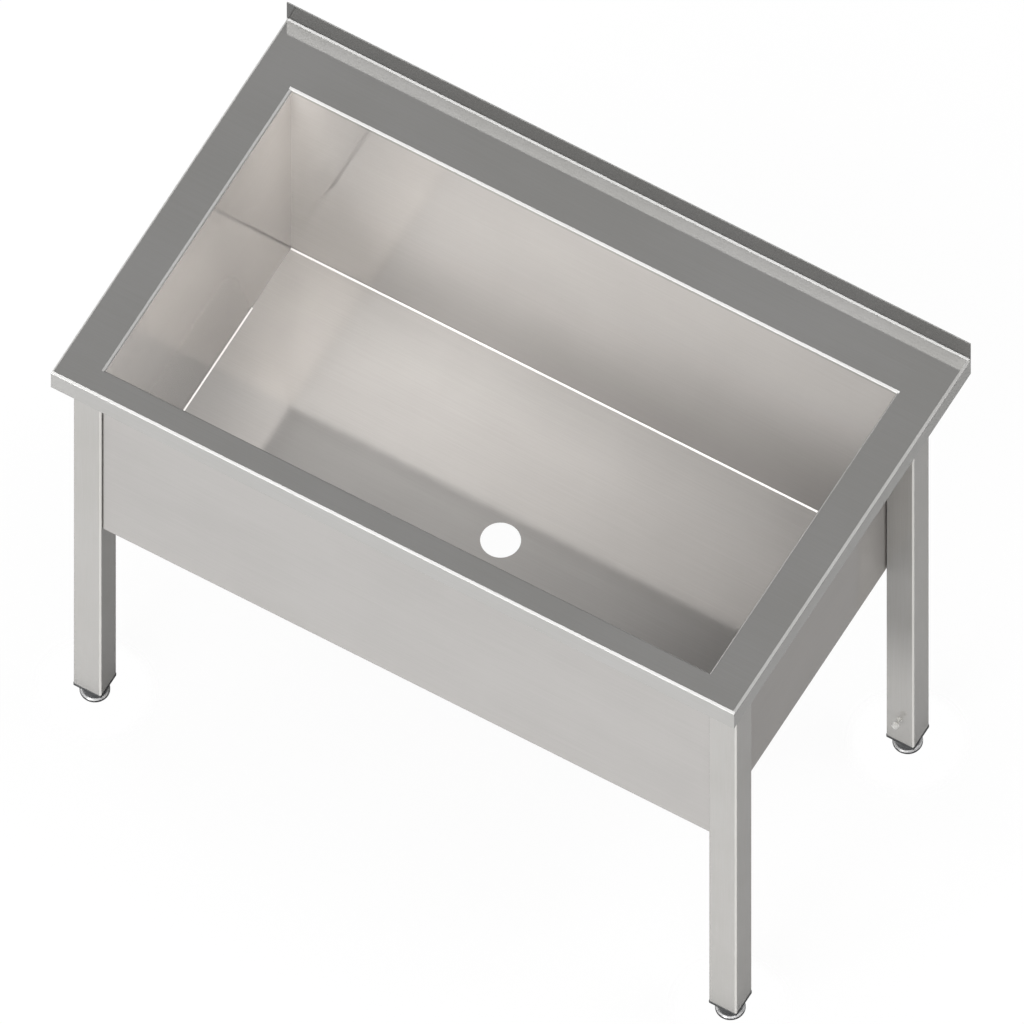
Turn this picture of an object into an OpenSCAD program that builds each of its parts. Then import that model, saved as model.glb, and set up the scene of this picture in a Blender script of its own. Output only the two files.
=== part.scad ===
// Free-standing stainless steel laundry sink with one deep bowl, four tube legs and screw feet.
// X runs left to right, Y front to back, Z up. The origin is the middle of the footprint, on the floor.

/* [Deck] */
// Width of the deck, left to right
deck_w = 1000; // [800:10:1600]
// Depth of the deck, front to back
deck_d = 600; // [560:10:800]
// Height of the deck's top face above the floor
deck_top = 850; // [700:5:950]
// Thickness of the deck and bowl sheet
sheet_t = 1; // [0.8:0.1:1.5]
// Outer radius of the bends in the sheet
bend_r = 3; // [2.5:0.25:4]
// Height of the lip that is turned down round the deck
lip_h = 40; // [25:1:60]
// Width of the flange turned in under the lip
return_w = 12; // [8:0.5:14]
// Height of the upstand above the deck
upstand_h = 40; // [20:1:120]

/* [Bowl] */
// Width of the bowl, inside
bowl_w = 886; // [600:1:886]
// Size of the bowl from front to back, inside
bowl_d = 474; // [350:1:490]
// Depth of the bowl below the deck's top face
bowl_deep = 403; // [250:1:450]
// Strip of deck between the front edge and the bowl
front_strip = 37; // [34:1:50]
// Height of the rim turned down round the opening, where the bowl is welded on
rim_h = 8; // [6:0.5:15]
// Diameter of the drain hole
drain_d = 52; // [40:1:90]

/* [Legs] */
// Outside size of the square tube
leg_size = 40; // [36:1:40]
// Wall of the tube
leg_wall = 1.5; // [1:0.1:2.5]
// Outside corner radius of the tube
leg_corner_r = 2; // [1.8:0.1:4]
// Distance from the deck's end to the leg
leg_side_in = 15; // [14.5:0.5:16]
// Distance from the deck's front edge to the front legs
leg_front_in = 31; // [27:0.5:60]
// Distance from the deck's back edge to the rear legs
leg_back_in = 79.5; // [40:0.5:120]

/* [Leg fixings] */
// Thickness of the plate on top of each leg
plate_t = 3; // [2.5:0.5:5]
// Length of the plate, front to back
plate_len = 94; // [86:1:96]
// Distance of each weld stud from the middle of the leg
stud_offset = 34; // [30:0.5:36]
// Diameter of the weld studs
weld_stud_d = 6; // [5:1:8]
// Length of the weld studs below the deck
weld_stud_len = 15; // [13:1:20]
// Size of the nuts across their flats
nut_flats = 10; // [9:0.5:13]
// Height of the nuts
nut_h = 5; // [3:0.5:5]
// Diameter of the washers
washer_d = 12; // [11:0.5:16]
// Thickness of the washers
washer_t = 1.6; // [1:0.1:2]

/* [Leg plugs] */
// Height of the plug's flange below the tube
flange_h = 5; // [3:0.5:8]
// How far the flange stands proud of the tube
flange_proud = 0.6; // [0:0.1:1.5]
// Bevel on the flange's edges
flange_bevel = 0.8; // [0.4:0.1:1.5]
// Length of the plug inside the tube
plug_len = 35; // [25:1:60]
// Wall and rib thickness of the plug
plug_wall = 2; // [1.5:0.1:3]
// Diameter of the steel thread insert
insert_d = 15; // [13:0.5:18]
// Length of the steel thread insert
insert_len = 18; // [12:1:24]

/* [Feet] */
// Diameter of the foot's base
base_d = 39; // [36:1:60]
// Height of the upright edge of the base
base_edge_h = 3.4; // [2:0.1:6]
// Width of the bevel round the base
bevel_w = 2.4; // [1:0.1:2.8]
// Height of the bevel round the base
bevel_h = 2; // [1:0.1:4]
// Diameter of the knob that turns the foot
knob_d = 33; // [28:0.5:34]
// Height of the knob
knob_h = 18; // [12:0.5:30]
// Rounding of the knob's top edge
knob_round = 2; // [1:0.1:4]
// Diameter of the foot's threaded stud
thread_d = 10; // [8:1:12]
// Diameter of the spigot that turns in the base
spigot_d = 8; // [6:0.5:9]
// How far the foot screws out from rest
foot_travel = 50; // [20:1:60]
// Gap left between the knob and the plug at rest
knob_gap = 1; // [0.5:0.1:5]

/* [Earthing stud] */
// Height of the earthing stud above the floor
earth_z = 86; // [80:1:200]
// Diameter of the earthing stud
earth_d = 5; // [4:1:8]
// Length of the earthing stud
earth_len = 15; // [14:1:30]
// Diameter of the weld collar at its foot
earth_collar_d = 7; // [6:0.5:10]
// Size of the earthing nut across its flats
earth_nut_flats = 8; // [7.5:0.5:13]
// Height of the earthing nut
earth_nut_h = 4; // [3:0.5:6]
// Diameter of the earthing washer
earth_washer_d = 10; // [9:0.5:16]

/* [Hidden] */
$fn = 96;
// Clearance of a part that turns or slides close to another
run_gap = 0.3;
// Clearance of a thread or a press fit
fit_gap = 0.05;
// Overrun of every cut
cut = 1;
// Gap between the leg plate and the bends of the deck
plate_gap = 0.5;
// Bevel that clears the leg plate from the rim's bend
plate_bevel = 1.5;
// Corner radius of the leg plate
plate_corner_r = 4;
// Clearance of a fastener in its hole
hole_gap = 0.3;
// Chamfer at the ends of threaded rods
rod_chamfer = 0.8;
// Thickness left under the spigot in the foot's base
base_floor = 1.5;
// Chamfer round the underside of the base
base_chamfer = 0.6;
// Distance of the earthing nut from the stud's tip
earth_tip = 1;
// Thickness of the earthing washer and of the weld collar
earth_washer_t = 1;

inner_r = bend_r - sheet_t;
deck_under = deck_top - sheet_t;
rim_z = deck_top - rim_h;
bowl_front = -deck_d / 2 + front_strip;
bowl_back = bowl_front + bowl_d;
bowl_floor = deck_top - bowl_deep;
bowl_mid = (bowl_front + bowl_back) / 2;
upstand_face = deck_d / 2 - 2 * sheet_t;

base_h = base_edge_h + bevel_h;
knob_z = base_h + run_gap;
flange_z = knob_z + knob_h + knob_gap;
leg_bottom = flange_z + flange_h;
leg_top = deck_under - plate_t;
leg_len = leg_top - leg_bottom;
leg_inner = leg_size - 2 * leg_wall;
leg_x = deck_w / 2 - leg_side_in - leg_size / 2;
leg_y_front = -deck_d / 2 + leg_front_in + leg_size / 2;
leg_y_rear = deck_d / 2 - leg_back_in - leg_size / 2;
// Places of the legs: front left, front right, rear left, rear right
leg_places = [[-leg_x, leg_y_front], [leg_x, leg_y_front], [-leg_x, leg_y_rear], [leg_x, leg_y_rear]];

plug_size = leg_inner - 4 * fit_gap;
plug_corner_r = max(leg_corner_r - leg_wall, fit_gap);
insert_z = leg_bottom + plug_wall;
foot_stud_top = insert_z + insert_len + foot_travel;
plate_out = leg_size / 2 + leg_side_in - bend_r - plate_gap;
earth_y = leg_y_rear - leg_size / 2;

// Shared shapes

// Rectangle with rounded corners, about the origin
module rounded_rect(w, h, r) {
    square([w - 2 * r, h], center = true);
    square([w, h - 2 * r], center = true);
    for (sx = [-1, 1], sy = [-1, 1])
        translate([sx * (w / 2 - r), sy * (h / 2 - r)]) circle(r);
}

// A profile drawn in Y and Z, run along X about the middle
module along_x(len) rotate([90, 0, 90]) linear_extrude(len, center = true) children();

// A profile drawn in X and Z, run along Y about the middle
module along_y(len) rotate([90, 0, 0]) linear_extrude(len, center = true) children();

module at_place(i) translate([leg_places[i].x, leg_places[i].y, 0]) children();

// The eight weld studs, two to a leg
module at_studs() {
    for (i = [0:3], side = [-1, 1])
        at_place(i) translate([0, side * stud_offset, 0]) children();
}

module hex_nut(flats, h, hole_d) {
    difference() {
        cylinder(h = h, d = flats / cos(30), $fn = 6);
        translate([0, 0, -cut]) cylinder(h = h + 2 * cut, d = hole_d);
    }
}

module ring(d, h, hole_d) {
    difference() {
        cylinder(h = h, d = d);
        translate([0, 0, -cut]) cylinder(h = h + 2 * cut, d = hole_d);
    }
}

// Deck

// Outline of the folded lip across a span, drawn in by an inset
module lip_outline(span, inset) {
    translate([0, deck_top - lip_h / 2])
        rounded_rect(span - 2 * inset, lip_h - 2 * inset, bend_r - inset);
}

// The same with a square corner at the back, where the sheet runs on up the upstand
module lip_outline_back(span, inset) {
    lip_outline(span, inset);
    translate([span / 2 - bend_r, deck_top - bend_r])
        square([bend_r - inset, bend_r - inset]);
}

module lip_block(inset) {
    intersection() {
        along_x(deck_w) lip_outline_back(deck_d, inset);
        along_y(deck_d) lip_outline(deck_w, inset);
    }
}

// Space between two edges of the opening, flared by their bends and grown by the sheet
module flare_outline(lo, hi, grow, z0, z1) {
    difference() {
        translate([lo - bend_r, z0]) square([hi - lo + 2 * bend_r, z1 - z0]);
        for (edge = [[lo, 1], [hi, -1]]) translate([edge[0], 0]) scale([edge[1], 1, 1]) {
            translate([-bend_r, deck_top - bend_r]) circle(bend_r - grow);
            translate([-bend_r - cut, z0 - cut])
                square([bend_r + cut - grow, deck_top - bend_r - z0 + cut]);
        }
    }
}

module opening_form(grow, z0, z1) {
    intersection() {
        along_x(deck_w) flare_outline(bowl_front, bowl_back, grow, z0, z1);
        along_y(deck_d) flare_outline(-bowl_w / 2, bowl_w / 2, grow, z0, z1);
    }
}

// The upstand is doubled: the sheet goes up, folds over at the top and comes down as the back lip
module upstand() {
    along_x(deck_w) {
        translate([upstand_face, deck_top - bend_r])
            square([2 * sheet_t, upstand_h + bend_r - sheet_t]);
        translate([deck_d / 2 - sheet_t, deck_top + upstand_h - sheet_t]) circle(sheet_t);
    }
    along_x(deck_w - 2 * bend_r) difference() {
        translate([upstand_face - inner_r, deck_top - sheet_t])
            square([inner_r + sheet_t, bend_r]);
        translate([upstand_face - inner_r, deck_top + inner_r]) circle(inner_r);
    }
}

module deck() {
    color([0.72, 0.72, 0.71]) difference() {
        union() {
            difference() {
                lip_block(0);
                lip_block(sheet_t);
                translate([0, 0, deck_top - lip_h])
                    cube([deck_w - 2 * return_w, deck_d - 2 * return_w, 2 * bend_r], center = true);
            }
            opening_form(sheet_t, rim_z, deck_top);
            upstand();
        }
        opening_form(0, rim_z - cut, deck_top + cut);
        // hollow under the upstand's bend, in front of the back lip
        along_x(deck_w - 2 * bend_r) difference() {
            translate([upstand_face - inner_r, deck_under - cut])
                square([inner_r + sheet_t, bend_r + cut]);
            translate([upstand_face - inner_r, deck_top + inner_r]) circle(bend_r);
            translate([upstand_face - inner_r - cut, deck_under - 2 * cut])
                square([inner_r + sheet_t, cut]);
        }
    }
}

// Bowl

// Cross-section of the bowl from front to back, grown by the sheet
module tub_outline(grow, top) {
    r = inner_r + grow;
    lo = bowl_front - grow;
    hi = bowl_back + grow;
    floor_z = bowl_floor - grow;
    translate([lo, floor_z + r]) square([hi - lo, top - floor_z - r]);
    translate([lo + r, floor_z]) square([hi - lo - 2 * r, top - floor_z]);
    translate([lo + r, floor_z + r]) circle(r);
    translate([hi - r, floor_z + r]) circle(r);
}

module bowl_wrap() {
    color([0.76, 0.75, 0.73]) difference() {
        along_x(bowl_w) difference() {
            tub_outline(sheet_t, rim_z);
            tub_outline(0, rim_z + cut);
        }
        translate([0, bowl_mid, bowl_floor - sheet_t - cut])
            cylinder(h = sheet_t + 2 * cut, d = drain_d);
    }
}

// side is -1 at the left end and 1 at the right end
module bowl_end(side) {
    color([0.7, 0.69, 0.67]) translate([side * (bowl_w + sheet_t) / 2, 0, 0])
        along_x(sheet_t) tub_outline(sheet_t, rim_z);
}

// Legs and their fixings

module leg(i) {
    color([0.74, 0.74, 0.73]) at_place(i) translate([0, 0, leg_bottom])
        linear_extrude(leg_len) difference() {
            rounded_rect(leg_size, leg_size, leg_corner_r);
            rounded_rect(leg_inner, leg_inner, plug_corner_r);
        }
}

// Plate welded on the tube, with its edge by the bowl bevelled to clear the rim's bend
module leg_plate(i) {
    out = sign(leg_places[i].x);
    plate_w = plate_out + leg_size / 2;
    plate_mid = (plate_out - leg_size / 2) / 2;
    color([0.66, 0.66, 0.66]) at_place(i) scale([out, 1, 1]) translate([0, 0, leg_top])
        difference() {
            intersection() {
                translate([plate_mid, 0, 0])
                    linear_extrude(plate_t) rounded_rect(plate_w, plate_len, plate_corner_r);
                along_y(plate_len) polygon([[-leg_size / 2, 0], [plate_out, 0], [plate_out, plate_t],
                    [-leg_size / 2 + plate_bevel, plate_t], [-leg_size / 2, plate_t - plate_bevel]]);
            }
            for (side = [-1, 1]) translate([0, side * stud_offset, -cut])
                cylinder(h = plate_t + 2 * cut, d = weld_stud_d + 2 * hole_gap);
        }
}

module deck_studs() {
    color([0.62, 0.62, 0.63]) at_studs() translate([0, 0, deck_under - weld_stud_len])
        cylinder(h = weld_stud_len, d = weld_stud_d);
}

module deck_washers() {
    color([0.6, 0.6, 0.61]) at_studs() translate([0, 0, leg_top - washer_t])
        ring(washer_d, washer_t, weld_stud_d + 2 * hole_gap);
}

module deck_nuts() {
    color([0.64, 0.64, 0.65]) at_studs() translate([0, 0, leg_top - washer_t - nut_h])
        hex_nut(nut_flats, nut_h, weld_stud_d + 2 * fit_gap);
}

// Plugs in the legs

// Flange with its upper and lower edges bevelled
module plug_flange() {
    w = leg_size + 2 * flange_proud;
    bevelled = [[-w / 2, flange_bevel], [-w / 2 + flange_bevel, 0], [w / 2 - flange_bevel, 0],
        [w / 2, flange_bevel], [w / 2, flange_h - flange_bevel], [w / 2 - flange_bevel, flange_h],
        [-w / 2 + flange_bevel, flange_h], [-w / 2, flange_h - flange_bevel]];
    intersection() {
        linear_extrude(flange_h) rounded_rect(w, w, leg_corner_r + flange_proud);
        along_x(w) polygon(bevelled);
        along_y(w) polygon(bevelled);
    }
}

module leg_plug(i) {
    core = plug_size - 2 * plug_wall;
    color([0.24, 0.24, 0.25]) at_place(i) difference() {
        union() {
            translate([0, 0, flange_z]) plug_flange();
            translate([0, 0, leg_bottom]) linear_extrude(plug_len) {
                difference() {
                    rounded_rect(plug_size, plug_size, plug_corner_r);
                    square(core, center = true);
                }
                circle(d = insert_d + 2 * plug_wall);
                square([core + plug_wall, plug_wall], center = true);
                square([plug_wall, core + plug_wall], center = true);
            }
        }
        translate([0, 0, flange_z - cut])
            cylinder(h = flange_h + plug_len + 2 * cut, d = thread_d + 2 * run_gap);
        translate([0, 0, insert_z]) cylinder(h = plug_len, d = insert_d + 2 * fit_gap);
    }
}

module plug_inserts() {
    color([0.7, 0.68, 0.6]) for (i = [0:3]) at_place(i) translate([0, 0, insert_z])
        ring(insert_d, insert_len, thread_d + 2 * fit_gap);
}

// Feet

module foot_stud(i) {
    color([0.66, 0.67, 0.68]) at_place(i) rotate_extrude() polygon([
        [0, base_floor + run_gap], [spigot_d / 2, base_floor + run_gap], [spigot_d / 2, knob_z],
        [thread_d / 2, knob_z], [thread_d / 2, foot_stud_top - rod_chamfer],
        [thread_d / 2 - rod_chamfer, foot_stud_top], [0, foot_stud_top]]);
}

module foot_knob(i) {
    r = knob_d / 2;
    color([0.2, 0.2, 0.21]) at_place(i) translate([0, 0, knob_z]) rotate_extrude() difference() {
        union() {
            square([r, knob_h - knob_round]);
            square([r - knob_round, knob_h]);
            translate([r - knob_round, knob_h - knob_round]) circle(knob_round);
        }
        translate([0, -cut]) square([thread_d / 2 + fit_gap, knob_h + 2 * cut]);
    }
}

module foot_base(i) {
    r = base_d / 2;
    color([0.28, 0.28, 0.29]) at_place(i) rotate_extrude() difference() {
        polygon([[0, 0], [r - base_chamfer, 0], [r, base_chamfer], [r, base_edge_h],
            [r - bevel_w, base_h], [0, base_h]]);
        translate([0, base_floor]) square([spigot_d / 2 + fit_gap, base_h]);
    }
}

// Earthing stud on the front face of the rear right leg

module at_earth(reach) {
    translate([leg_x, earth_y - reach, earth_z]) rotate([-90, 0, 0]) children();
}

module earth_stud() {
    color([0.78, 0.76, 0.7]) at_earth(earth_len) {
        cylinder(h = earth_len, d = earth_d);
        translate([0, 0, earth_len - earth_washer_t]) cylinder(h = earth_washer_t, d = earth_collar_d);
    }
}

module earth_nut() {
    color([0.78, 0.76, 0.7]) at_earth(earth_len - earth_tip)
        hex_nut(earth_nut_flats, earth_nut_h, earth_d + 2 * fit_gap);
}

module earth_washer() {
    color([0.74, 0.73, 0.7]) at_earth(earth_len - earth_tip - earth_nut_h)
        ring(earth_washer_d, earth_washer_t, earth_d + 2 * hole_gap);
}

deck();
bowl_wrap();
bowl_end(-1);  // bowl_end_left
bowl_end(1);  // bowl_end_right
leg(0);  // leg_front_left
leg(1);  // leg_front_right
leg(2);  // leg_rear_left
leg(3);  // leg_rear_right
leg_plate(0);  // leg_plate_front_left
leg_plate(1);  // leg_plate_front_right
leg_plate(2);  // leg_plate_rear_left
leg_plate(3);  // leg_plate_rear_right
deck_studs();
deck_washers();
deck_nuts();
leg_plug(0);  // leg_plug_front_left
leg_plug(1);  // leg_plug_front_right
leg_plug(2);  // leg_plug_rear_left
leg_plug(3);  // leg_plug_rear_right
plug_inserts();
foot_stud(0);  // foot_stud_front_left
foot_stud(1);  // foot_stud_front_right
foot_stud(2);  // foot_stud_rear_left
foot_stud(3);  // foot_stud_rear_right
foot_knob(0);  // foot_knob_front_left
foot_knob(1);  // foot_knob_front_right
foot_knob(2);  // foot_knob_rear_left
foot_knob(3);  // foot_knob_rear_right
foot_base(0);  // foot_base_front_left
foot_base(1);  // foot_base_front_right
foot_base(2);  // foot_base_rear_left
foot_base(3);  // foot_base_rear_right
earth_stud();
earth_washer();
earth_nut();
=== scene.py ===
import math
from functools import partial
import bpy
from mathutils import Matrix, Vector


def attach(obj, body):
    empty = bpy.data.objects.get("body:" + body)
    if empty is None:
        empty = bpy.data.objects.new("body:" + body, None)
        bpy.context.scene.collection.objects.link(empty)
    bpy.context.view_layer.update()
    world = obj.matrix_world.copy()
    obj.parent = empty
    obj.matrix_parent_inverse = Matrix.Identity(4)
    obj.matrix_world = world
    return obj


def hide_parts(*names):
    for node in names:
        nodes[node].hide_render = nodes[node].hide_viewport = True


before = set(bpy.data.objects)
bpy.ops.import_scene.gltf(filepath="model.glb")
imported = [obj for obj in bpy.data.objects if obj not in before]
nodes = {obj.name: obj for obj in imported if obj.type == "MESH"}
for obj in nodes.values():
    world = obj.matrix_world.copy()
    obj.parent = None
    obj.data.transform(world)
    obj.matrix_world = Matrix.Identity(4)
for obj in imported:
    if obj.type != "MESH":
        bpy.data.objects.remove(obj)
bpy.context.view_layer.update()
scene = bpy.context.scene
print("frame loaded:", len(nodes), "nodes")

mm = 0.001
feet = ("front_left", "front_right", "rear_left", "rear_right")
legCentres = ((-0.465, -0.249), (0.465, -0.249), (-0.465, 0.2005), (0.465, 0.2005))  # as in the CAD source
smooth = {"interpolation_type": "SMOOTHSTEP"}
ofNumbers, ofVectors, ofColours = {"data_type": "FLOAT"}, {"data_type": "VECTOR"}, {"data_type": "RGBA"}


def hexColour(code):
    shares = [int(code[i:i + 2], 16) / 255 for i in (1, 3, 5)]
    return tuple(c / 12.92 if c <= 0.04045 else ((c + 0.055) / 1.055) ** 2.4 for c in shares) + (1.0,)


# settings may be just the name of an operation; inputs go by name or in order, each a value, a socket or a node
def addNode(tree, kind, settings=None, inputs=()):
    node = tree.nodes.new(kind)
    if isinstance(settings, str):
        settings = {"operation": settings}
    for name, value in (settings or {}).items():
        setattr(node, name, value)
    for socket, value in inputs.items() if isinstance(inputs, dict) else enumerate(inputs):
        if isinstance(value, bpy.types.Node):
            value = next(out for out in value.outputs if out.enabled)
        if isinstance(value, bpy.types.NodeSocket):
            tree.links.new(value, node.inputs[socket])
        else:
            node.inputs[socket].default_value = value
    return node


def newMaterial(name):
    material = bpy.data.materials.new(name)
    material.use_nodes = True
    material.node_tree.nodes.clear()
    return material, partial(addNode, material.node_tree)


def direction(around, above):
    around, above = math.radians(around), math.radians(above)
    return Vector((math.sin(around) * math.cos(above), -math.cos(around) * math.cos(above), math.sin(above)))


# a parallel view, as the picture has no vanishing points
camera = {
    "around": 30,           # degrees to the right of the front
    "above": 60,            # degrees above the horizon
    "widthShown": 1.2978,   # metres across the picture
    "aim": (0.0017, 0, 0.4803),
    "distance": 4.0,
    "farEnd": 100,          # metres, so that low views show the floor far off
}


def addCamera(look):
    back = direction(look["around"], look["above"])
    data = bpy.data.cameras.new("camera")
    data.type = "ORTHO"
    data.ortho_scale = look["widthShown"]
    data.clip_end = look["farEnd"]
    eye = bpy.data.objects.new("camera", data)
    eye.rotation_mode = "QUATERNION"
    eye.rotation_quaternion = (-back).to_track_quat("-Z", "Y")
    eye.location = Vector(look["aim"]) + back * look["distance"]
    scene.collection.objects.link(eye)
    scene.camera = eye


addCamera(camera)
scene.view_settings.view_transform = "Standard"
print("camera placed")

# soft boxes round the front and sides, nothing behind, so that the flat top mirrors a dim wall
studio = {
    "boxes": (              # degrees round from the front, degrees above, strength, narrowness
        (355, 27, 14.0, 70),
        (333, 49, 12.8, 200),
        (359, 51, 4.0, 120),
        (330, 60, 0.75, 150),
        (318, 67, 1.0, 70),
        (16, 40, 1.2, 80),
        (22, 60, 4.2, 70),
        (42, 48, 1.5, 50),
        (98, 69, 3.0, 120),
        (122, 58, 9.5, 60),
        (270, 78, 7.0, 50),
        (248, 26, 4.0, 70),
    ),
    "air": 0.02,            # what the dim parts of the room give
    "white": "#ffffff",
}


def addStudio(look):
    world = bpy.data.worlds.new("studio")
    scene.world = world
    world.use_nodes = True
    world.node_tree.nodes.clear()
    add = partial(addNode, world.node_tree)
    ray = add("ShaderNodeTexCoord").outputs["Generated"]
    light = look["air"]
    for around, above, strength, spread in look["boxes"]:
        facing = add("ShaderNodeVectorMath", "DOT_PRODUCT", (ray, tuple(direction(around, above))))
        facing = add("ShaderNodeMath", "MAXIMUM", (facing, 0.0))
        box = add("ShaderNodeMath", "MULTIPLY", (add("ShaderNodeMath", "POWER", (facing, spread)), strength))
        light = add("ShaderNodeMath", "ADD", (light, box))
    white = hexColour(look["white"])
    studioLight = add("ShaderNodeBackground", None, {"Color": white, "Strength": light})
    backdrop = add("ShaderNodeBackground", None, {"Color": white, "Strength": 1.0})
    path = add("ShaderNodeLightPath").outputs
    seen = add("ShaderNodeMixShader", None, (path["Is Camera Ray"], studioLight, backdrop))
    add("ShaderNodeOutputWorld", None, {"Surface": seen})


addStudio(studio)

floor = {
    "reach": 60.0,          # half its side, so that low views end on it
    "white": "#ffffff",
    "paint": "#ffffff",
    "shadowShare": 0.07,    # how much of the floor's brightness its shading makes
    "mirroredFront": 0.60,  # what the steel mirrors of the floor in front
    # the next three paint a shade that only reflections show
    "mirroredSide": 0.23,   # beside the legs
    "mirroredUnder": 0.12,  # in the shade under the sink
    "mirroredNear": (0.20, 0.55),   # a painted lighter patch in front of the rear right leg, further off and close to it
    "nearFade": (0.0, 0.10),        # metres along y, between those two
    "legFade": (0.24, 0.34),        # metres along x, where that part begins
    "sideFade": (0.47, 0.50),       # and where the part beside the legs does
    "shadeFront": (-0.30, -0.24),   # how the whole shade begins and ends, in metres along y
    "shadeBack": (0.90, 1.30),
    "shadeLeft": (-0.75, -0.50),    # and along x
    "shadeRight": (0.90, 1.30),
    "openRound": (0.060, 0.085),    # metres round a leg, where a foot that a pose lowers shows and is lit
}


def floorMaterial(look):
    material, add = newMaterial("matt white floor paint")
    path = add("ShaderNodeLightPath").outputs
    place = add("ShaderNodeSeparateXYZ", None, {0: add("ShaderNodeTexCoord").outputs["Object"]}).outputs
    x, y = place["X"], place["Y"]
    # a painted shade, seen only in reflections, lies under the sink and to its right, and ends softly further out
    near = add("ShaderNodeMapRange", smooth, (y, *look["nearFade"], *look["mirroredNear"]))
    atLeg = add("ShaderNodeMapRange", smooth, (x, *look["legFade"]))
    under = add("ShaderNodeMix", ofNumbers, {"Factor": atLeg, "A": look["mirroredUnder"], "B": near})
    beside = add("ShaderNodeMapRange", smooth, (x, *look["sideFade"]))
    side = add("ShaderNodeMix", ofNumbers, {"Factor": beside, "A": under, "B": look["mirroredSide"]})
    shade = add("ShaderNodeMapRange", smooth, (y, *look["shadeFront"]))
    for fade in ((y, *look["shadeBack"], 1.0, 0.0), (x, *look["shadeLeft"]), (x, *look["shadeRight"], 1.0, 0.0)):
        shade = add("ShaderNodeMath", "MULTIPLY", (shade, add("ShaderNodeMapRange", smooth, fade)))
    mirrored = add("ShaderNodeMix", ofNumbers, {"Factor": shade, "A": look["mirroredFront"], "B": side})
    strength = add("ShaderNodeMix", ofNumbers, {"Factor": path["Is Camera Ray"], "A": mirrored, "B": 1.0})
    seen = path["Is Camera Ray"]
    for kind in ("Is Glossy Ray", "Is Transmission Ray"):
        seen = add("ShaderNodeMath", {"operation": "ADD", "use_clamp": True}, (seen, path[kind]))
    paint = add("ShaderNodeBsdfDiffuse", None, {"Color": hexColour(look["paint"])})
    glow = add("ShaderNodeEmission", None, {"Color": hexColour(look["white"]), "Strength": strength})
    glowShare = add("ShaderNodeMath", "MULTIPLY", (seen, 1 - look["shadowShare"]))
    both = add("ShaderNodeMixShader", None, (glowShare, paint, glow))
    # how far the nearest leg stands
    (legX, frontY), (_, rearY) = legCentres[1], legCentres[3]
    aside = add("ShaderNodeMath", "SUBTRACT", (add("ShaderNodeMath", "ABSOLUTE", {0: x}), legX))
    rows = [add("ShaderNodeMath", "SUBTRACT", (y, legY)) for legY in (frontY, rearY)]
    away = add("ShaderNodeMath", "MINIMUM", [add("ShaderNodeMath", "ABSOLUTE", {0: row}) for row in rows])
    squares = [add("ShaderNodeMath", "MULTIPLY", (length, length)) for length in (aside, away)]
    gap = add("ShaderNodeMath", "SQRT", {0: add("ShaderNodeMath", "ADD", squares)})
    ring = add("ShaderNodeMapRange", smooth, (gap, *look["openRound"], 1.0, 0.0))
    unmirrored = add("ShaderNodeMath", "SUBTRACT", (1.0, path["Is Glossy Ray"]))
    clear = add("ShaderNodeMath", "MULTIPLY", (ring, unmirrored))
    shown = add("ShaderNodeMixShader", None, (clear, both, add("ShaderNodeBsdfTransparent")))
    add("ShaderNodeOutputMaterial", None, {"Surface": shown})
    return material


def addFloor(look):
    reach = look["reach"]
    mesh = bpy.data.meshes.new("studio_floor")
    corners = [(-reach, -reach, 0), (reach, -reach, 0), (reach, reach, 0), (-reach, reach, 0)]
    mesh.from_pydata(corners, [], [(0, 1, 2, 3)])
    mesh.materials.append(floorMaterial(look))
    ground = bpy.data.objects.new("studio_floor", mesh)
    scene.collection.objects.link(ground)


addFloor(floor)
print("studio built")

# satin stainless: half mirror and half haze, with a fine grain left by the rolls
steelFinish = {
    "metallic": 0.5,
    "roughness": (0.060, 0.100),
    "roughSpan": (0.3, 0.7),        # the part of the grain's noise that they span
    "grainHeight": 0.0000025,
    "grainDetail": 3.0,
    "cloudSize": 0.16,              # metres, of the faint cloudiness in the colour
    "cloudDetail": 2.0,
    "wornShares": (0.5, 0.5),       # of grain and clouds in where the duller colour lies
    "wornSpan": (0.35, 0.65),
}
scratchLong, scratchWide = 0.090, 0.0009    # metres; the real scratches are too narrow to show, so these are wider
steels = {                                  # grain is the size of a scratch along x, y and z
    "deck": {
        "name": "satin stainless sheet, ground along the width",
        "colour": "#cbcac8", "dullColour": "#c5c4c1", "foldMetallic": 0.0,
        "grain": (scratchLong, scratchWide, scratchWide),
    },
    "bowl": {
        "name": "satin stainless sheet, ground along the bowl",
        "colour": "#d3d0cd", "dullColour": "#cdcac7", "foldMetallic": 0.16,
        "grain": (scratchLong, scratchWide, scratchWide),
    },
    "ends": {
        "name": "satin stainless sheet, ground from front to back",
        "colour": "#cbc7c3", "dullColour": "#c6c2be", "foldMetallic": 0.16,
        "grain": (scratchWide, scratchLong, scratchWide),
    },
    "legs": {
        "name": "satin stainless tube, ground lengthways",
        "colour": "#cfcdca", "dullColour": "#c9c7c3", "foldMetallic": 0.5,
        "grain": (scratchWide, scratchWide, scratchLong),
    },
}
deckShades = {              # painted shade: the deck's colour is darker on top, and darker still on the upstand's face
    "top": 0.8482,          # metres up, just under the top
    "topShade": 0.70,
    "foot": 0.8525,         # metres up, where the upstand begins
    "face": 0.2985,         # metres back, just behind its face
    "faceShade": 0.25,
    "faceMetallic": 0.5,
    "faceLean": 0.07,       # leans its relief forward, so that it and its image in the deck face different boxes
    "blend": 0.001,
}
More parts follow.
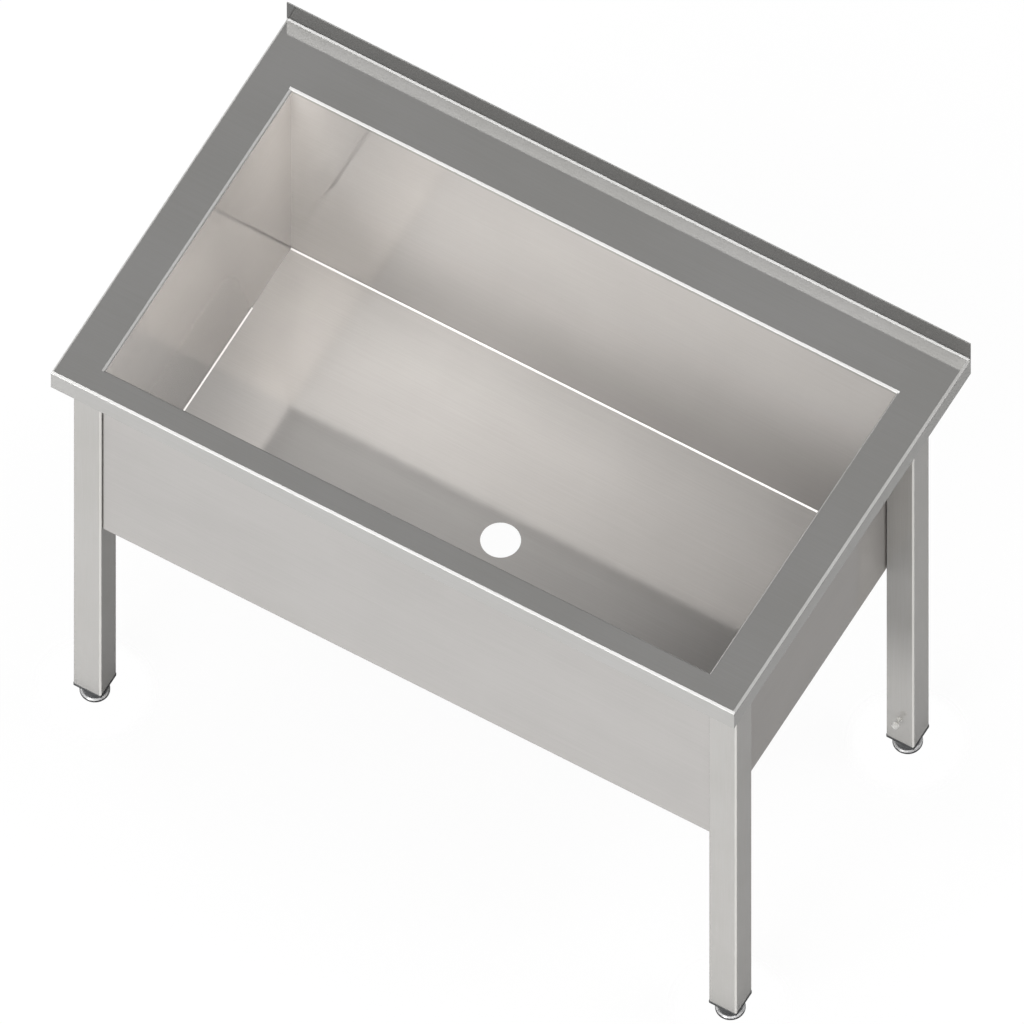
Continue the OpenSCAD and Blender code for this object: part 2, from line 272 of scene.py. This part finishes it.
bowlInside = {              # the bowl's inner faces in metres, and the painted light and shade over them
    "left": -0.443, "right": 0.443, "front": -0.263, "back": 0.211, "bottom": 0.447, "rim": 0.842,
    "slack": 0.0005,                # how far off a face still counts as on it
    "wallTop": 0.80,
    "wallTones": (0.80, 1.15),      # painted shade and light, at the bottom and at wallTop
    "bottomFade": (0.04, 0.24),     # along y
    "bottomTones": (1.03, 1.55),    # painted light, in the middle and behind the back wall
    "rightTone": 0.58,              # painted shade on the right end and what lies near it, most of all low down
    "rightStart": (-0.25, 0.50),    # along x
    "openTone": 1.30,               # painted light on the part of the bottom that mirrors the dim room and not the back wall
    "openStart": (-0.35, -0.29),    # along x
    "openEnd": (-0.02, 0.02),       # along y
    "leftTone": 0.55,               # painted shade on the left wall, low at its front
    "leftEnd": (0.02, 0.18),        # along y
    "leftShares": (1.0, 0.5),       # of that tone at the bottom and at the rim
    "backTone": 0.80,               # painted shade on the back wall, low in its middle
    "backTop": 0.62,
    "backStart": (-0.42, -0.28),    # along x
    "backEnd": (0.05, 0.30),
    # a painted highlight that lightens the folds inside the bowl
    "foldPaintedHighlight": 1.5,
    # the outer faces, a little darker than the colour
    "outsideTone": 0.93,
}
# the folds are shaded as planished flats, and inside the bowl their colour is lightened as a painted highlight: where
# each lies in metres, and the way it faces
bowlFolds = (
    ((-0.4435, 0.4435), (0.2090, 0.2115), (0.4465, 0.4489), (0.12, -0.535, 0.836)),
    ((-0.4435, 0.4435), (-0.2635, -0.2610), (0.4465, 0.4489), (0.0, 0.53, 0.848)),
    ((-0.4435, -0.4412), (-0.2635, 0.1110), (0.4465, 0.4488), (0.297, -0.200, 0.934)),
    ((0.4412, 0.4435), (-0.2635, 0.2115), (0.4465, 0.4488), (-0.375, 0.0, 0.927)),
)
deckFolds = (
    ((-0.4465, -0.4425), (-0.2660, 0.2140), (0.8410, 0.84995), (0.454, 0.0, 0.891)),
    ((-0.5010, -0.4968), (-0.3010, 0.2970), (0.8468, 0.84995), (-0.375, 0.0, 0.927)),
    ((0.4968, 0.5010), (-0.3010, 0.2970), (0.8468, 0.8505), (0.454, 0.0, 0.891)),
    ((-0.5010, 0.5010), (-0.3010, -0.2970), (0.8468, 0.8505), (0.0, -0.53, 0.848)),
    ((-0.4462, 0.4462), (0.2105, 0.2140), (0.8468, 0.8505), (0.0, -0.53, 0.848)),
    ((-0.5010, 0.5010), (0.2958, 0.2985), (0.8495, 0.8524), (0.0, -0.53, 0.848)),
)
cornerStart, cornerEnd, legTop = 0.0178, 0.0202, 0.85   # metres out from the leg's middle, and up
legFolds = [                # the corner of each leg towards the front and the right
    ((x + cornerStart, x + cornerEnd), (y - cornerEnd, y - cornerStart), (0.0, legTop), (0.235, -0.595, 0.768))
    for x, y in legCentres
]


def between(add, value, low, high):
    above = add("ShaderNodeMath", "GREATER_THAN", (value, low))
    return add("ShaderNodeMath", "MULTIPLY", (above, add("ShaderNodeMath", "LESS_THAN", (value, high))))


# the painted light and shade over the inside of the bowl, as a share of the colour
def paintedInsideShading(add, at, look):
    x, y, z = at["X"], at["Y"], at["Z"]
    slack, bottom, rim = look["slack"], look["bottom"], look["rim"]
    onBottom = add("ShaderNodeMath", "LESS_THAN", (z, bottom + slack))
    onLeft = add("ShaderNodeMath", "LESS_THAN", (x, look["left"] + slack))
    onBack = add("ShaderNodeMath", "GREATER_THAN", (y, look["back"] - slack))
    inside = add("ShaderNodeMath", "GREATER_THAN", (z, bottom - slack))
    for value, low, high in ((x, look["left"], look["right"]), (y, look["front"], look["back"])):
        inside = add("ShaderNodeMath", "MULTIPLY", (inside, between(add, value, low - slack, high + slack)))
    walls = add("ShaderNodeMapRange", smooth, (z, bottom, look["wallTop"], *look["wallTones"]))
    flat = add("ShaderNodeMapRange", smooth, (y, *look["bottomFade"], *look["bottomTones"]))
    tone = add("ShaderNodeMix", ofNumbers, {"Factor": onBottom, "A": walls, "B": flat})
    patches = (             # painted patches of light and shade, each with the face it lies on, and the ways it fades there
        ("rightTone", 1.0, (x, *look["rightStart"]), (z, bottom, rim, 1.0, 0.0)),
        ("openTone", onBottom, (x, *look["openStart"]), (y, *look["openEnd"], 1.0, 0.0)),
        ("leftTone", onLeft, (y, *look["leftEnd"], 1.0, 0.0), (z, bottom, rim, *look["leftShares"])),
        ("backTone", onBack, (z, bottom, look["backTop"], 1.0, 0.0), (x, *look["backStart"]),
         (x, *look["backEnd"], 1.0, 0.0)),
    )
    for name, face, *fades in patches:
        change = add("ShaderNodeMath", "MULTIPLY", (face, look[name] - 1))
        for fade in fades:
            change = add("ShaderNodeMath", "MULTIPLY", (change, add("ShaderNodeMapRange", smooth, fade)))
        tone = add("ShaderNodeMath", "MULTIPLY", (tone, add("ShaderNodeMath", "ADD", (1.0, change))))
    return add("ShaderNodeMix", ofNumbers, {"Factor": inside, "A": look["outsideTone"], "B": tone})


# the way the sheet faces, with its folds flat, and a mask of the folds
def foldedNormal(add, at, folds):
    normal, mask = add("ShaderNodeNewGeometry").outputs["Normal"], 0.0
    for across, deep, high, facing in folds:
        here = between(add, at["X"], *across)
        for axis, ends in (("Y", deep), ("Z", high)):
            here = add("ShaderNodeMath", "MULTIPLY", (here, between(add, at[axis], *ends)))
        normal = add("ShaderNodeMix", ofVectors, {"Factor": here, "A": normal, "B": facing})
        mask = add("ShaderNodeMath", "MAXIMUM", (mask, here))
    return normal, mask


def steelMaterial(look, finish, folds, shades=None, inside=None):
    material, add = newMaterial(look["name"])
    place = add("ShaderNodeTexCoord").outputs["Object"]
    at = add("ShaderNodeSeparateXYZ", None, {0: place}).outputs
    along = add("ShaderNodeMapping", {"vector_type": "TEXTURE"}, {"Vector": place, "Scale": look["grain"]})
    grain = add("ShaderNodeTexNoise", None, {"Vector": along, "Scale": 1.0, "Detail": finish["grainDetail"]})
    clouds = add("ShaderNodeTexNoise", None,
                 {"Vector": place, "Scale": 1 / finish["cloudSize"], "Detail": finish["cloudDetail"]})
    dull = add("ShaderNodeMapRange", smooth, (grain, *finish["roughSpan"], *finish["roughness"]))
    parts = [add("ShaderNodeMath", "MULTIPLY", pair) for pair in zip((grain, clouds), finish["wornShares"])]
    worn = add("ShaderNodeMapRange", smooth, (add("ShaderNodeMath", "ADD", parts), *finish["wornSpan"]))
    colour = add("ShaderNodeMix", ofColours,
                 {"Factor": worn, "A": hexColour(look["colour"]), "B": hexColour(look["dullColour"])})
    height = add("ShaderNodeMath", "MULTIPLY", (grain, finish["grainHeight"]))
    normal, folded = foldedNormal(add, at, folds)
    metallic = add("ShaderNodeMix", ofNumbers,
                   {"Factor": folded, "A": finish["metallic"], "B": look["foldMetallic"]})
    # painted light and shade inside the bowl
    if inside:
        tone = paintedInsideShading(add, at, inside)
        # the folds take the painted highlight in place of the painted light and shade
        share = add("ShaderNodeMix", ofNumbers, {"Factor": folded, "A": tone, "B": inside["foldPaintedHighlight"]})
        colour = add("ShaderNodeVectorMath", "SCALE", {0: colour, "Scale": share})
    # painted shade on the deck's top, and more on the upstand's face
    if shades:
        top, foot, behind, blend = shades["top"], shades["foot"], shades["face"], shades["blend"]
        onTop = add("ShaderNodeMapRange", smooth, (at["Z"], top, top + blend, 1.0, shades["topShade"]))
        up = add("ShaderNodeMapRange", smooth, (at["Z"], foot, foot + blend))
        ahead = add("ShaderNodeMapRange", smooth, (at["Y"], behind, behind + blend, 1.0, 0.0))
        face = add("ShaderNodeMath", "MULTIPLY", (up, ahead))
        share = add("ShaderNodeMix", ofNumbers, {"Factor": face, "A": onTop, "B": shades["faceShade"]})
        metallic = add("ShaderNodeMix", ofNumbers, {"Factor": face, "A": metallic, "B": shades["faceMetallic"]})
        colour = add("ShaderNodeVectorMath", "SCALE", {0: colour, "Scale": share})
        rise = add("ShaderNodeMath", "MAXIMUM", (add("ShaderNodeMath", "SUBTRACT", (at["Z"], foot)), 0.0))
        lean = add("ShaderNodeMath", "MULTIPLY", (rise, shades["faceLean"]))
        height = add("ShaderNodeMath", "ADD", (height, lean))
    relief = add("ShaderNodeBump", None, {"Height": height, "Strength": 1.0, "Distance": 1.0, "Normal": normal})
    skin = add("ShaderNodeBsdfPrincipled", None,
               {"Base Color": colour, "Metallic": metallic, "Roughness": dull, "Normal": relief})
    add("ShaderNodeOutputMaterial", None, {"Surface": skin})
    return material


def dress(material, *names):
    for name in names:
        slots = nodes[name].data.materials
        slots.clear()
        slots.append(material)


dress(steelMaterial(steels["deck"], steelFinish, deckFolds, shades=deckShades), "deck")
dress(steelMaterial(steels["bowl"], steelFinish, bowlFolds, inside=bowlInside), "bowl_wrap")
dress(steelMaterial(steels["ends"], steelFinish, bowlFolds, inside=bowlInside), "bowl_end_left", "bowl_end_right")
dress(steelMaterial(steels["legs"], steelFinish, legFolds), *["leg_" + f for f in feet])
print("sheet steel dressed")

# the smaller parts: grain is the size of the surface's texture in metres, coarser than the real one so that it shows
finishes = {
    "plate": {              # dull and even
        "name": "stainless plate, blasted", "colour": "#b3b1ad", "dark": "#8f8d8a", "metallic": 0.9,
        "roughness": (0.34, 0.48), "grain": 0.0006, "height": 0.00002,
    },
    "fastener": {           # a soft shine with duller spots
        "name": "stainless fastener, turned and washed", "colour": "#cfcdc8", "dark": "#a9a7a3", "metallic": 0.9,
        "roughness": (0.18, 0.30), "grain": 0.0012, "height": 0.000006,
    },
    "brass": {              # pale yellow
        "name": "pale brass thread insert", "colour": "#cdbf98", "dark": "#a4946a", "metallic": 0.95,
        "roughness": (0.20, 0.34), "grain": 0.0010, "height": 0.000008,
    },
    "plug": {               # dark, with a broad faint sheen
        "name": "moulded nylon, matt dark grey", "colour": "#47484a", "dark": "#3a3b3c", "metallic": 0.0,
        "roughness": (0.36, 0.50), "grain": 0.0005, "height": 0.000012,
    },
    "knob": {               # dark, with a clear shine
        "name": "moulded nylon, glossy dark grey", "colour": "#5c5d5f", "dark": "#4b4c4d", "metallic": 0.2,
        "roughness": (0.12, 0.22), "grain": 0.0005, "height": 0.000006,
    },
    "base": {               # nearly white as a painted highlight, and a painted shade dark low on its rim
        "name": "stainless foot, turned bright", "colour": "#f0f0f0", "dark": "#dededf", "metallic": 0.2,
        "roughness": (0.16, 0.26), "grain": 0.0009, "height": 0.000005,
        # painted shade: the rim's colour below this height
        "below": 0.0038, "rim": "#505052",
    },
    "earthing": {           # the brightest of the fixings: near white with little metal, as a painted highlight
        "name": "plated steel, painted near white as its highlight", "colour": "#f4f3f0", "dark": "#e0dfdb", "metallic": 0.2,
        "roughness": (0.16, 0.26), "grain": 0.0010, "height": 0.000006,
    },
}
smallFinish = {             # what they share
    "fineDetail": 2.0,
    "fineSpan": (0.3, 0.7),         # the part of the fine noise that the roughness spans
    "broadPerMetre": 60.0,          # how many darker patches lie along a metre
    "broadDetail": 3.0,
    "broadSpan": (0.35, 0.70),
}


def smallMaterial(look, shared):
    material, add = newMaterial(look["name"])
    place = add("ShaderNodeTexCoord").outputs["Object"]
    fine = add("ShaderNodeTexNoise", None,
               {"Vector": place, "Scale": 1 / look["grain"], "Detail": shared["fineDetail"]})
    broad = add("ShaderNodeTexNoise", None,
                {"Vector": place, "Scale": shared["broadPerMetre"], "Detail": shared["broadDetail"]})
    patches = add("ShaderNodeMapRange", smooth, (broad, *shared["broadSpan"]))
    colour = add("ShaderNodeMix", ofColours,
                 {"Factor": patches, "A": hexColour(look["colour"]), "B": hexColour(look["dark"])})
    # painted shade: the colour goes dark below a height
    if "rim" in look:
        height = add("ShaderNodeSeparateXYZ", None, {0: place}).outputs["Z"]
        low = add("ShaderNodeMath", "LESS_THAN", (height, look["below"]))
        colour = add("ShaderNodeMix", ofColours, {"Factor": low, "A": colour, "B": hexColour(look["rim"])})
    relief = add("ShaderNodeBump", None, {"Height": fine, "Strength": 1.0, "Distance": look["height"]})
    dull = add("ShaderNodeMapRange", smooth, (fine, *shared["fineSpan"], *look["roughness"]))
    skin = add("ShaderNodeBsdfPrincipled", None,
               {"Base Color": colour, "Metallic": look["metallic"], "Roughness": dull, "Normal": relief})
    add("ShaderNodeOutputMaterial", None, {"Surface": skin})
    return material


finish = {name: smallMaterial(look, smallFinish) for name, look in finishes.items()}
dress(finish["plate"], *["leg_plate_" + f for f in feet])
dress(finish["fastener"], "deck_washers")
dress(finish["earthing"], "earth_washer")
dress(finish["brass"], "plug_inserts")
dress(finish["plug"], *["leg_plug_" + f for f in feet])
dress(finish["knob"], *["foot_knob_" + f for f in feet])
dress(finish["base"], *["foot_base_" + f for f in feet])
print("small parts dressed")


def newTree(name, inputs):
    tree = bpy.data.node_groups.new(name, "GeometryNodeTree")
    tree.interface.new_socket("Places", in_out="INPUT", socket_type="NodeSocketGeometry")
    for label, kind in inputs.items():
        tree.interface.new_socket(label, in_out="INPUT", socket_type="NodeSocket" + kind)
    tree.interface.new_socket("Geometry", in_out="OUTPUT", socket_type="NodeSocketGeometry")
    add = partial(addNode, tree)
    return tree, add, add("NodeGroupInput").outputs


def endTree(add, given, shape):
    points = add("GeometryNodeMeshToPoints", None, {"Mesh": given["Places"]})
    placed = add("GeometryNodeInstanceOnPoints", None, {"Points": points, "Instance": shape, "Rotation": given["Turn"]})
    real = add("GeometryNodeRealizeInstances", None, {0: placed})
    dressed = add("GeometryNodeSetMaterial", None, {"Geometry": real, "Material": given["Finish"]})
    add("NodeGroupOutput", None, {0: dressed})


threadShape = {
    "sides": 24,
    "rowsPerTurn": 6.0,
    "flank": (0.15, 0.80),  # from crest to root, as shares of half a pitch
    "neckSides": 32,
}


def threadTree(look):
    tree, add, given = newTree("rolled thread", {
        "Turn": "Vector", "Radius": "Float", "Length": "Float", "Pitch": "Float", "Depth": "Float", "Chamfer": "Float",
        "Neck Radius": "Float", "Neck Start": "Float", "Neck Length": "Float", "Finish": "Material"})
    radius, length, pitch, chamfer = (given[label] for label in ("Radius", "Length", "Pitch", "Chamfer"))
    rows = add("ShaderNodeMath", "MULTIPLY", (add("ShaderNodeMath", "DIVIDE", (length, pitch)), look["rowsPerTurn"]))
    rod = add("GeometryNodeMeshCylinder", None,
              {"Vertices": look["sides"], "Side Segments": rows, "Radius": radius, "Depth": length})
    lift = add("ShaderNodeCombineXYZ", None, {"Z": add("ShaderNodeMath", "MULTIPLY", (length, 0.5))})
    rod = add("GeometryNodeSetPosition", None, {"Geometry": rod, "Offset": lift})
    at = add("ShaderNodeSeparateXYZ", None, {0: add("GeometryNodeInputPosition")}).outputs
    # how far each point lies through the pitch that winds past it, and so how deep it is cut
    angle = add("ShaderNodeMath", "ARCTAN2", (at["Y"], at["X"]))
    turns = add("ShaderNodeMath", "DIVIDE", (angle, math.tau))
    pitches = add("ShaderNodeMath", "DIVIDE", (at["Z"], pitch))
    phase = add("ShaderNodeMath", "FRACT", {0: add("ShaderNodeMath", "SUBTRACT", (pitches, turns))})
    offMiddle = add("ShaderNodeMath", "ABSOLUTE", {0: add("ShaderNodeMath", "SUBTRACT", (phase, 0.5))})
    flank = add("ShaderNodeMath", "MULTIPLY", (offMiddle, 2.0))
    groove = add("ShaderNodeMapRange", None, (flank, *look["flank"], 0.0, given["Depth"]))
    toTip = add("ShaderNodeMath", "SUBTRACT", (length, at["Z"]))
    bevel = add("ShaderNodeMath", "SUBTRACT", (chamfer, add("ShaderNodeMath", "MINIMUM", (toTip, chamfer))))
    left = add("ShaderNodeMath", "SUBTRACT", (radius, add("ShaderNodeMath", "MAXIMUM", (groove, bevel))))
    share = add("ShaderNodeMath", "DIVIDE", (left, radius))
    across = [add("ShaderNodeMath", "MULTIPLY", (at[axis], share)) for axis in "XY"]
    shaped = add("ShaderNodeCombineXYZ", None, (*across, at["Z"]))
    rod = add("GeometryNodeSetPosition", None, {"Geometry": rod, "Position": shaped})
    neck = add("GeometryNodeMeshCylinder", None,
               {"Vertices": look["neckSides"], "Radius": given["Neck Radius"], "Depth": given["Neck Length"]})
    halfNeck = add("ShaderNodeMath", "MULTIPLY", (given["Neck Length"], 0.5))
    middle = add("ShaderNodeMath", "ADD", (given["Neck Start"], halfNeck))
    neck = add("GeometryNodeSetPosition", None,
               {"Geometry": neck, "Offset": add("ShaderNodeCombineXYZ", None, {"Z": middle})})
    joined = add("GeometryNodeJoinGeometry")
    for part in (neck, rod):
        tree.links.new(part.outputs[0], joined.inputs[0])
    endTree(add, given, joined)
    return tree


nutShape = {
    "sides": 72,
    "rows": 12,
    "endShare": 0.97,       # the chamfer's circle at the nut's ends, as a share of the flats
    "coneRise": 1.732,      # its slope, 30 degrees off the end
    "boreSides": 48,
}


def nutTree(look):
    tree, add, given = newTree("chamfered hexagon nut", {
        "Turn": "Vector", "Flats": "Float", "Height": "Float", "Bore": "Float", "Finish": "Material"})
    half = add("ShaderNodeMath", "MULTIPLY", (given["Flats"], 0.5))
    block = add("GeometryNodeMeshCylinder", None,
                {"Vertices": look["sides"], "Side Segments": look["rows"], "Radius": half, "Depth": given["Height"]})
    at = add("ShaderNodeSeparateXYZ", None, {0: add("GeometryNodeInputPosition")}).outputs
    # the round block is pulled out to six flats, and a cone holds its ends in
    sixth = math.radians(60)
    angle = add("ShaderNodeMath", "ARCTAN2", (at["Y"], at["X"]))
    within = add("ShaderNodeMath", "SUBTRACT", (add("ShaderNodeMath", "FLOORED_MODULO", (angle, sixth)), sixth / 2))
    hexagon = add("ShaderNodeMath", "DIVIDE", (1.0, add("ShaderNodeMath", "COSINE", {0: within})))
    halfHeight = add("ShaderNodeMath", "MULTIPLY", (given["Height"], 0.5))
    toEnd = add("ShaderNodeMath", "SUBTRACT", (halfHeight, add("ShaderNodeMath", "ABSOLUTE", {0: at["Z"]})))
    rise = add("ShaderNodeMath", "DIVIDE", (add("ShaderNodeMath", "MULTIPLY", (toEnd, look["coneRise"])), half))
    cone = add("ShaderNodeMath", "ADD", (look["endShare"], rise))
    share = add("ShaderNodeMath", "MINIMUM", (hexagon, cone))
    across = [add("ShaderNodeMath", "MULTIPLY", (at[axis], share)) for axis in "XY"]
    shaped = add("ShaderNodeCombineXYZ", None, (*across, at["Z"]))
    block = add("GeometryNodeSetPosition", None, {"Geometry": block, "Position": shaped})
    throughBoth = add("ShaderNodeMath", "MULTIPLY", (given["Height"], 2.0))
    drill = add("GeometryNodeMeshCylinder", None,
                {"Vertices": look["boreSides"], "Radius": given["Bore"], "Depth": throughBoth})
    endTree(add, given, add("GeometryNodeMeshBoolean", "DIFFERENCE", {"Mesh 1": block, "Mesh 2": drill}))
    return tree


sharpAngle = math.radians(28)   # steeper edges stay sharp


def bakePiece(name, tree, places, values, body, *stoodFor):
    mesh = bpy.data.meshes.new(name)
    mesh.from_pydata(places, [], [])
    piece = bpy.data.objects.new(name, mesh)
    scene.collection.objects.link(piece)
    modifier = piece.modifiers.new("shape", "NODES")
    modifier.node_group = tree
    for item in tree.interface.items_tree:
        if item.in_out == "INPUT" and item.name in values:
            modifier[item.identifier] = values[item.name]
    shown = piece.evaluated_get(bpy.context.evaluated_depsgraph_get())
    baked = bpy.data.meshes.new_from_object(shown)
    piece.modifiers.clear()
    piece.data = baked
    for face in baked.polygons:
        face.use_smooth = True
    baked.set_sharp_from_angle(angle=sharpAngle)
    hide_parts(*stoodFor)
    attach(piece, body)


rolledThread = threadTree(threadShape)
hexNut = nutTree(nutShape)

footStud = {
    "Radius": 5 * mm, "Length": 94.0 * mm, "Pitch": 1.5 * mm, "Depth": 0.92 * mm, "Chamfer": 0.8 * mm,
    "Neck Radius": 4 * mm, "Neck Start": -3.9 * mm, "Neck Length": 4.0 * mm,
    "Turn": (0.0, 0.0, 0.0), "Finish": finish["fastener"],
}
threadFoot = 5.7 * mm       # where the foot's thread starts above the floor
for name, (x, y) in zip(feet, legCentres):
    bakePiece("thread_" + name, rolledThread, [(x, y, threadFoot)], footStud, "screw_" + name, "foot_stud_" + name)

deckStud = {
    "Radius": 3 * mm, "Length": 15 * mm, "Pitch": 1.0 * mm, "Depth": 0.61 * mm, "Chamfer": 0.6 * mm,
    "Neck Radius": 2.9 * mm, "Neck Start": 0.0, "Neck Length": 1.2 * mm,
    "Turn": (math.pi, 0.0, 0.0), "Finish": finish["fastener"],      # hangs down
}
deckNut = {
    "Flats": 10 * mm, "Height": 5 * mm, "Bore": 3.05 * mm,
    "Turn": (0.0, 0.0, 0.0), "Finish": finish["fastener"],
}
studOffset, deckUnder, nutMiddle = 34 * mm, 849 * mm, 841.9 * mm
studPlaces = [(x, y + side * studOffset) for x, y in legCentres for side in (-1, 1)]
bakePiece("deck_weld_studs", rolledThread, [(x, y, deckUnder) for x, y in studPlaces], deckStud, "root", "deck_studs")
bakePiece("deck_hex_nuts", hexNut, [(x, y, nutMiddle) for x, y in studPlaces], deckNut, "root", "deck_nuts")

earthing = {
    "place": (0.465, 0.1805, 0.086),    # on the front face of the rear right leg
    "nutBack": 12 * mm,                 # from that face to the middle of the nut
}
earthStud = {
    "Radius": 2.5 * mm, "Length": 15 * mm, "Pitch": 0.8 * mm, "Depth": 0.49 * mm, "Chamfer": 0.5 * mm,
    "Neck Radius": 3.5 * mm, "Neck Start": 0.0, "Neck Length": 1.0 * mm,
    "Turn": (math.pi / 2, 0.0, 0.0), "Finish": finish["earthing"],  # points to the front
}
earthNut = {
    "Flats": 8 * mm, "Height": 4 * mm, "Bore": 2.55 * mm,
    "Turn": (math.pi / 2, 0.0, 0.0), "Finish": finish["earthing"],
}
x, y, z = earthing["place"]
bakePiece("earthing_stud", rolledThread, [(x, y, z)], earthStud, "root", "earth_stud")
bakePiece("earthing_nut", hexNut, [(x, y - earthing["nutBack"], z)], earthNut, "root", "earth_nut")
print("threads and nuts made")
